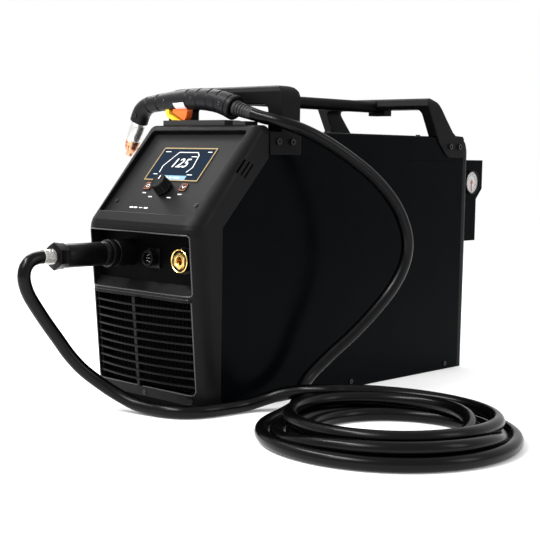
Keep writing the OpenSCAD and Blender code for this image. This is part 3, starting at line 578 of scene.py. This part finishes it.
def make_grip():
    rings, n = [], GRIP_SIDES
    for k in range(GRIP_RINGS + 1):
        u = GRIP_SPANS * k / GRIP_RINGS
        x = grip_at(u)[0][0]
        dip = 0.0
        for groove in GROOVE_X:
            d = abs(x - groove) / GROOVE_HALF
            if d < 1:
                dip = max(dip, GROOVE_DEPTH * (1 - d ** 2))
        if COLLAR_X[0] < x < COLLAR_X[1]:
            dip = COLLAR_DEPTH
        rings.append([grip_point(u, 2 * math.pi * j / n, -dip) for j in range(n)])
    rings = rounded_end(rings[0], 0, HOSE_END) + rings + rounded_end(rings[-1], GRIP_SPANS, HEAD_END)
    verts = [p * MM for ring in rings for p in ring]
    faces = []
    for i in range(len(rings) - 1):
        for j in range(n):
            a, b = i * n + j, i * n + (j + 1) % n
            faces.append((a, b, b + n, a + n))
    return obj_from("torch_grip", verts, faces, sharp=50)


finish_piece(make_grip(), "torch", M["grip"],
             ("torch_handle_front", "torch_handle_back", "torch_head"))


def grip_label(name, u0, u1, a0, a1, thick, nu=14, na=10):
    """A thin label that follows the grip's surface, between two angles in degrees."""
    verts, faces = [], []
    for lift in (0.0, thick):
        for i in range(nu + 1):
            for j in range(na + 1):
                u = u0 + (u1 - u0) * i / nu
                a = math.radians(a0 + (a1 - a0) * j / na)
                verts.append(grip_point(u, a, lift) * MM)
    w = na + 1
    off = (nu + 1) * w
    for i in range(nu):
        for j in range(na):
            a = i * w + j
            faces.append((a, a + w, a + w + 1, a + 1))
            faces.append((off + a, off + a + 1, off + a + w + 1, off + a + w))
    edge = [i * w for i in range(nu)] + [nu * w + j for j in range(na)]
    edge += [i * w + na for i in range(nu, 0, -1)] + list(range(na, 0, -1))
    for k, a in enumerate(edge):
        b = edge[(k + 1) % len(edge)]
        faces.append((a, b, b + off, a + off))
    return obj_from(name, verts, faces, sharp=40)


# The label's faint glow is painted light.
finish_piece(grip_label("torch_label", 6.02, 6.86, 200, 244, 0.4), "torch", M["white_mark_glowing"])

# The seam where the two halves of the grip meet, along the top.
seam_line = [grip_point(u / 10, math.pi / 2, 0.05) * MM for u in range(2, 118)]
finish_piece(tube("torch_seam", seam_line, 0.28 * MM, 6), "torch", M["dark"])

GRIP_SCREW = [(0, 0.2), (1.3, 0.2), (1.5, -0.5), (2.9, -0.5), (3.1, 0.5), (2.5, 1.0), (1.6, 1.0),
              (1.4, 0.4), (0, 0.4)]
for k, (x, z, r) in enumerate(((-38, 461, 16.7), (-104, 458.8, 14.6), (28, 452.2, 18.6))):
    screw = lathe("torch_screw_%d" % k, GRIP_SCREW, 24)
    finish_piece(facing_front(screw, x, TORCH_Y - r * GRIP_WIDTH + 0.2, z), "torch", M["screw"])

# The screw on the head, beside the elbow.
HEAD_SCREW = [(0, 0.4), (1.6, 0.4), (1.8, 1.1), (3.0, 1.1), (3.4, 0.4), (3.4, -0.8), (0, -0.8)]
screw = facing_front(lathe("torch_head_screw", HEAD_SCREW, 28), -172, TORCH_Y - 14.7, 436.3)
finish_piece(screw, "torch", M["screw"])


# ---------- strain relief ----------
RELIEF_RIBS, RELIEF_PITCH, RELIEF_CORE, RELIEF_TAPER = 5, 5.7, 9.4, 0.35
relief_profile = [(0, -2), (8.2, -2), (8.2, 0.8), (11.4, 1.2), (12.2, 2.4), (12.2, 5.6), (11.2, 7.2),
                  (9.5, 8)]
for i in range(RELIEF_RIBS):
    z = 10 + i * RELIEF_PITCH
    r = 11.4 - i * RELIEF_TAPER
    relief_profile += [(RELIEF_CORE, z), (r, z + 0.7), (r, z + 3.3), (RELIEF_CORE, z + 4.0)]
relief_profile += [(9.8, 39), (9.8, 40.6), (9.5, 41), (0, 41)]
relief = place(lathe("torch_relief", relief_profile, 40), pose_at(47, TORCH_Y, 446.5, 90 + 15, "Y"))
finish_piece(relief, "torch", M["rubber"], ("torch_strain_relief",))


# ---------- torch nozzle ----------
# Both profiles run from the head towards the tip.
CUP_AT = pose_at(-174.5, TORCH_Y, 438.4, 180 + 24.5, "Y")
SHIELD = [(8, 4), (12.1, 4), (12.1, 16), (11.5, 17), (11.5, 19), (12.1, 20), (12.1, 34), (11.8, 44.4),
          (11.2, 45.6), (8, 45.8)]
NOZZLE = [(7.9, 46), (11.2, 46.1), (11.8, 46.9), (11.8, 53), (11.4, 54), (11.4, 55), (11.6, 57),
          (10.4, 61), (8.6, 64.5), (6.7, 67), (6.1, 68), (5.7, 71.5), (4.9, 73.6), (1.3, 73.8),
          (0.8, 70), (0, 70)]


def crown(a, i):
    """Six slots round the nozzle's shoulder."""
    return 1 - (0.16 if 5 <= i <= 8 and math.cos(6 * a) > 0.55 else 0)


cup = place(lathe("torch_shield", SHIELD, 56), CUP_AT)
finish_piece(cup, "torch", M["silver"], replaces=("torch_cup",))
tip = place(lathe("torch_nozzle", NOZZLE, 144, crown), CUP_AT)
finish_piece(tip, "torch", M["copper"], ("torch_tip",))


# ---------- plug ----------
PLUG_X, PLUG_Z = -42, 226


def along_plug(name, profile, n=56, wave=None):
    """A turned piece about the plug's axis. Heights are distances towards -Y."""
    return facing_front(lathe(name, profile, n, wave), PLUG_X, 0, PLUG_Z)


SHELL = [(15, 375.4), (17, 375.4), (17.6, 376), (17.6, 384), (17.1, 384.6), (17.1, 386), (17.6, 386.6),
         (17.6, 449), (17.3, 451), (17.3, 453.4), (0, 453.4)]
COLLAR = [(14, 452.6), (17.8, 452.8), (18.2, 453.6), (18.2, 456), (18, 457), (19.4, 467.5),
          (19.8, 468.6), (19.5, 470.2), (17.8, 471), (0, 471)]
NOSE = [(0, 357.9), (15.9, 357.9), (15.9, 375.3), (15.9, 375.6), (0, 375.6)]
plug = joined("plug_housing", [along_plug("plug_shell", SHELL, 64),
                               along_plug("plug_collar", COLLAR, 96, hexagon(0.75)),
                               along_plug("plug_nose", NOSE, 48)])
bm = bmesh.new()
bm.from_mesh(plug.data)
mark_sharp(bm, 40)
bm.to_mesh(plug.data)
bm.free()
finish_piece(plug, "machine", M["socket"], ("plug_body",))

RING = [(16.1, 358.2), (19.4, 358.2), (20, 358.9), (20, 361.4), (19.4, 362), (19.4, 362.8),
        (20.2, 363.3), (20.6, 364.2), (20.6, 372.4), (20.2, 373.4), (19.4, 374.2), (16.1, 374.2)]
ring = along_plug("plug_ring", RING, 320, knurl(40, 0.035, 6, 9))
finish_piece(ring, "plug_ring", M["socket"], replaces=("plug_nut",))
RING_RIM = [(18, 374), (20, 373.6), (20.7, 374), (20.7, 374.8), (20, 374.8), (18, 374.8)]
rim = along_plug("plug_ring_rim", RING_RIM, 320, knurl(40, 0.022, 1, 4))
finish_piece(rim, "plug_ring", M["screw"])

THREADS, THREAD_PITCH, THREAD_CORE, THREAD_R = 8, 2.3, 9.8, 11
thread = [(0, 470.8), (10.3, 470.8)]
for i in range(THREADS):
    z = 471.3 + i * THREAD_PITCH
    thread += [(THREAD_CORE, z), (THREAD_R, z + 0.5), (THREAD_R, z + 1.3), (THREAD_CORE, z + 1.8)]
thread += [(THREAD_CORE, 490), (0, 490)]
gland = along_plug("plug_gland_thread", thread)
finish_piece(gland, "machine", M["steel"], ("plug_gland",))


# ---------- control panel ----------
# The fascia's face: x across, y up the slope and z out of it. It lies 8 mm below the bezel's slope.
FASCIA = pose_at(0, -354, 270.5, 48.5, "X") @ Matrix.Translation((0, 0, -8 * MM))
SCREEN_Z, BAR_Z, BUTTON_Z, PAINT = 0.72, 0.95, 1.5, 0.15
BUTTON_X, BUTTON_Y = 40, 80


def on_fascia(ob):
    """Moves a flat piece onto the fascia."""
    return place(ob, FASCIA)


marks = []
# Screen picture: an outline like a gate, a large number, a pale bar and small marks.
gate = [(-36, 108), (-37.5, 121), (-20, 149), (22, 149), (28, 143), (31, 119), (23.5, 109)]
marks.append(ribbon("screen_outline", gate, 1.2, PAINT, SCREEN_Z))
marks.append(ribbon("screen_tick", [(13, 140.5), (26, 140.5)], 1.0, PAINT, SCREEN_Z))
for k, (x0, x1, y) in enumerate(((-52, -40, 150), (-47, -38, 104.5), (29, 40, 104.5), (43, 52, 150))):
    marks.append(ribbon("screen_dash_%d" % k, [(x0, y), (x1, y)], 1.1, PAINT, SCREEN_Z))
for k, (x0, x1) in enumerate(((-20, -9), (-6, -1), (3, 17))):
    marks.append(ribbon("bar_dash_%d" % k, [(x0, 98), (x1, 98)], 2.0, PAINT, BAR_Z))


def number(text, height, x, y):
    """Leaning figures on the screen, as a mesh."""
    data = bpy.data.curves.new("figures", "FONT")
    data.body = text
    data.size = height * MM
    data.shear = 0.22
    data.extrude = 0.08 * MM
    data.offset = 0.1 * MM
    data.align_x = "CENTER"
    temp = bpy.data.objects.new("figures", data)
    scene.collection.objects.link(temp)
    bpy.context.view_layer.update()
    me = bpy.data.meshes.new_from_object(temp.evaluated_get(bpy.context.evaluated_depsgraph_get()))
    bpy.data.objects.remove(temp)
    ob = bpy.data.objects.new("figures", me)
    scene.collection.objects.link(ob)
    ob.data.transform(Matrix.Translation((x * MM, y * MM, 0.85 * MM)))
    return ob


marks.append(number("125", 25, -3, 119))
finish_piece(on_fascia(joined("screen_picture", marks)), "machine", M["white_mark_glowing"])
bar = on_fascia(prism("screen_bar", round_rect(62, 8.5, 1.2, -1, 98), 0.2, SCREEN_Z))
finish_piece(bar, "machine", M["blue_bar"])


def dash(x0, x1, y, width):
    """A printed dash on the fascia."""
    return ribbon("dash", [(x0, y), (x1, y)], width, 0.1, 0.0)


# Printed marks by the buttons: plain rings, dashes and squares.
prints, lines = [], []
for s in (-1, 1):
    frame_line = round_rect(12.2, 12.2, 1.5, s * BUTTON_X, BUTTON_Y)
    lines.append(ribbon("button_edge", frame_line, 0.6, 0.12, BUTTON_Z, closed=True))
    if s < 0:
        ring_line = circle(2.9, s * BUTTON_X, BUTTON_Y)
        prints.append(ribbon("button_mark", ring_line, 0.9, 0.12, BUTTON_Z, closed=True))
    else:
        tick_line = [(36.6, 82.4), (40, 78), (43.4, 82.4)]
        prints.append(ribbon("button_mark", tick_line, 1.0, 0.12, BUTTON_Z))
    prints.append(dash(s * 44, s * 36, 67, 1.4))
    prints.append(dash(s * 25, s * 17, 60, 1.6))
for x0, x1, width in ((-51, -43, 2.2), (-41, -34, 2.2), (-29, -22, 1.2), (-18, -10, 2.2)):
    prints.append(dash(x0, x1, 38, width))
button_outlines = on_fascia(joined("button_outlines", lines))
panel_marks = on_fascia(joined("panel_marks", prints))


def split_by_body(source, look, parts):
    """Makes a piece of each group of faces. Parts are (name, body, test of a face's middle)."""
    for name, body, keep in parts:
        bm = bmesh.new()
        bm.from_mesh(source.data)
        drop = [f for f in bm.faces if not keep(f.calc_center_median())]
        bmesh.ops.delete(bm, geom=drop, context="FACES")
        me = bpy.data.meshes.new(name)
        bm.to_mesh(me)
        bm.free()
        ob = bpy.data.objects.new(name, me)
        scene.collection.objects.link(ob)
        finish_piece(ob, body, look)
    bpy.data.objects.remove(source)


def on_button(c, s):
    """Whether a point is on the left button (s is -1) or on the right one (s is 1)."""
    d = FASCIA.inverted() @ c
    half = 7.5 * MM
    return abs(d.x - s * BUTTON_X * MM) < half and abs(d.y - BUTTON_Y * MM) < half


def on_left(c):
    return on_button(c, -1)


def on_right(c):
    return on_button(c, 1)


split_by_body(button_outlines, M["orange_line"], [("button_outlines_left", "left_button", on_left),
                                                  ("button_outlines_right", "right_button", on_right)])
# The printed marks glow faintly: painted light.
split_by_body(panel_marks, M["white_mark_glowing"], [
    ("panel_marks_left", "left_button", on_left),
    ("panel_marks_right", "right_button", on_right),
    ("panel_marks_panel", "machine", lambda c: not on_left(c) and not on_right(c)),
])


def fluted(a, i):
    """Fourteen flutes round the knob's skirt."""
    return 1 - (0.075 * max(0.0, math.cos(14 * a)) if 3 <= i <= 6 else 0)


KNOB = [(3.02, 0), (14.2, 0), (14.5, 0.6), (14.5, 3.0), (13.9, 3.8), (13.2, 15.6), (12.6, 17.2),
        (11.6, 18), (9.5, 18.0), (9.0, 17.5), (0, 17.4)]
knob = lathe("encoder_knob", KNOB, 224, fluted)
on_fascia(place(knob, Matrix.Translation((0, 76 * MM, 1.6 * MM))))
finish_piece(knob, "knob", M["socket"], ("control_knob",))
# The knob's tick glows faintly: painted light.
tick = on_fascia(prism("knob_tick", round_rect(1.6, 7, 0.7, 0, 82.5), 0.25, 19.5))
finish_piece(tick, "knob", M["white_mark_glowing"])


# ---------- connectors ----------
WORK_X, WORK_Z = 86, 222
CNC_X, CNC_Z, PIN_CIRCLE = 14, 221, 5.4

WORK_RING = [(15.4, 0), (16.9, 0), (17.3, 0.7), (17.3, 2.2), (16.5, 3.0), (15.9, 2.6), (15.4, 2.0)]
work_ring = facing_front(lathe("work_ring", WORK_RING, 64), WORK_X, -342.6, WORK_Z)
finish_piece(work_ring, "machine", M["brass"])


def hex_outside(a, i):
    """A hexagon outside and a round hole inside."""
    return hexagon(1.0)(a, i) if 1 <= i <= 3 else 1


WORK_HEX = [(6.6, 0.4), (12.0, 0.4), (12.0, 2.6), (11.2, 3.6), (7.4, 3.6), (6.6, 2.8), (6.6, 0.4)]
work_hex = facing_front(lathe("work_hex", WORK_HEX, 96, hex_outside), WORK_X, -342.2, WORK_Z)
finish_piece(work_hex, "machine", M["brass"])

CNC_SCREW = [(0, 0.5), (0.8, 0.5), (0.9, 1.1), (2.0, 1.1), (2.3, 0.6), (2.3, 0), (0, 0)]
for k, (dx, dz) in enumerate(((-11, -12), (11, -12), (-11, 12), (11, 12))):
    screw = facing_front(lathe("cnc_screw_%d" % k, CNC_SCREW, 24), CNC_X + dx, -330.5, CNC_Z + dz)
    finish_piece(screw, "machine", M["screw"])
CNC_RING = [(8.7, 0), (11.6, 0), (12.2, 0.8), (12.2, 5.5), (11.6, 6), (11.2, 6.6), (9.2, 6.6), (8.7, 6.0)]
cnc_ring = facing_front(lathe("cnc_ring", CNC_RING, 160, knurl(20, 0.03, 2, 3)), CNC_X, -337.6, CNC_Z)
finish_piece(cnc_ring, "machine", M["socket"])
CNC_PIN = [(0, 0), (0.8, 0), (0.8, 2.2), (0.4, 2.7), (0, 2.7)]
pin_places = [polar(PIN_CIRCLE, 45 * k) for k in range(8)] + [(0, 0)]
pins = [facing_front(lathe("pin", CNC_PIN, 12), CNC_X + dx, -337.4, CNC_Z + dz) for dx, dz in pin_places]
finish_piece(joined("cnc_pins", pins), "machine", M["steel"])


# ---------- openings of the bezel ----------
FRONT_Y, FRONT_Z = -334, 12  # where the bezel's front face starts, at its foot
FRONT_LEAN, FRONT_TALL = 21, 250
CORNER_X, CORNER_R = 95, 30
BEAD_STEP, BEAD_SUNK, BEAD_R = 6, 0.5, 1.1


def face_y(x, z):
    """The bezel's front face, with its rounded corners."""
    past = max(0.0, abs(x) - CORNER_X)
    lean = FRONT_LEAN * (z - FRONT_Z) / FRONT_TALL
    return FRONT_Y - lean + CORNER_R - math.sqrt(CORNER_R ** 2 - past * past)


def bead(name, half_width, z0, z1, corner):
    """A thin moulded rim round an opening of the bezel, in a lighter grey that is a painted highlight."""
    line = round_rect(2 * half_width, z1 - z0, corner, 0, (z0 + z1) / 2, 8)
    line.append(line[0])
    dense = []
    for (xa, za), (xb, zb) in zip(line, line[1:]):
        n = max(1, round(math.hypot(xb - xa, zb - za) / BEAD_STEP))
        dense += [(xa + (xb - xa) * k / n, za + (zb - za) * k / n) for k in range(n)]
    dense.append(line[0])
    path_points = [Vector((x, face_y(x, z) + BEAD_SUNK, z)) * MM for x, z in dense]
    finish_piece(tube(name, path_points, BEAD_R * MM, 10), "machine", M["rim"])


bead("recess_rim", 112, 172, 260, 5)
bead("grille_rim", 110, 27, 167, 7)

# A fine dark sheet of bars behind the grille is painted shade: it keeps the inside from showing.
SHADE_SHEET_BARS, SHADE_SHEET_PITCH = 27, 8.3
bars = [prism("bar", round_rect(1.6, 138, 0.6, -108 + i * SHADE_SHEET_PITCH, 96), 1.2)
        for i in range(SHADE_SHEET_BARS)]
bars.append(prism("bar", round_rect(224, 140, 4, 0, 96), 0.8, -1.6))
grille_shade_sheet = facing_front(joined("grille_shade_sheet", bars), 0, -316, 0)
finish_piece(grille_shade_sheet, "machine", M["dark"])


# ---------- gauge ----------
GAUGE_Y, GAUGE_Z = 346.5, 331.5
TICK_END, BAND_R = 17.6, 12.6

ticks = []
for k in range(28):
    angle = 225 - k * 10
    start_r, width = (14.2, 0.75) if k % 3 == 0 else (15.8, 0.4)
    ticks.append(ribbon("tick", [polar(start_r, angle), polar(TICK_END, angle)], width, 0.12, 0.0))
ticks.append(ribbon("band", [polar(BAND_R, d) for d in range(-45, 226, 9)], 0.5, 0.12, 0))
finish_piece(facing_side(joined("gauge_marks", ticks), 109.7, GAUGE_Y, GAUGE_Z), "machine", M["ink"])
LENS_PROFILE = [(0, 0.8), (12, 0.6), (19.6, 0), (19.6, -0.8), (12, -0.2), (0, 0)]
lens = facing_side(lathe("gauge_lens", LENS_PROFILE, 48), 112.8, GAUGE_Y, GAUGE_Z)
finish_piece(lens, "machine", M["lens"])
BEZEL_PROFILE = [(19.4, -1), (19.4, 1.2), (20.0, 1.9), (21.0, 1.9), (21.6, 1.0), (21.6, -2.5),
                 (19.8, -2.5)]
gauge_bezel = facing_side(lathe("gauge_bezel", BEZEL_PROFILE, 64), 112.6, GAUGE_Y, GAUGE_Z)
finish_piece(gauge_bezel, "machine", M["socket"])


# ---------- stage ----------
FLOOR_HALF, FLOOR_Z = 6.0, -0.0006  # metres; just under the part's feet


def make_stage():
    h, z = FLOOR_HALF, FLOOR_Z
    me = bpy.data.meshes.new("floor")
    me.from_pydata([(-h, -h, z), (h, -h, z), (h, h, z), (-h, h, z)], [], [(0, 1, 2, 3)])
    floor = bpy.data.objects.new("floor", me)
    scene.collection.objects.link(floor)
    me.materials.append(material("floor_white", (0.86, 0.86, 0.86), 0.6, spec=0.3,
                                 mottle=(400, (0.88, 0.88, 0.88), 0.5), emit=(1, 1, 1, 0.12)))
    world = bpy.data.worlds.new("studio")
    world.use_nodes = True
    background = world.node_tree.nodes["Background"]
    background.inputs["Color"].default_value = (1, 1, 1, 1)
    background.inputs["Strength"].default_value = 1.0
    scene.world = world
    scene.view_settings.view_transform = "Standard"

    def area(name, where, target, size, power):
        """A rectangular lamp, in metres and watts, that faces its target."""
        data = bpy.data.lights.new(name, "AREA")
        data.shape, data.size, data.size_y, data.energy = "RECTANGLE", size[0], size[1], power
        ob = bpy.data.objects.new(name, data)
        ob.location = where
        ob.rotation_mode = "QUATERNION"
        ob.rotation_quaternion = (Vector(target) - Vector(where)).to_track_quat("-Z", "Y")
        scene.collection.objects.link(ob)

    area("key", (0.3, -2.2, 1.9), (0, -0.1, 0.25), (1.2, 0.9), 34)
    area("rim", (-1.8, 0.6, 1.8), (0, 0, 0.3), (1.4, 0.8), 26)
    area("side", (2.4, 0.5, 1.3), (0.1, 0, 0.2), (0.7, 1.3), 12)
    area("strip", (-0.3, -1.3, 1.7), (0.25, -0.25, 0), (1.6, 0.12), 45)


make_stage()
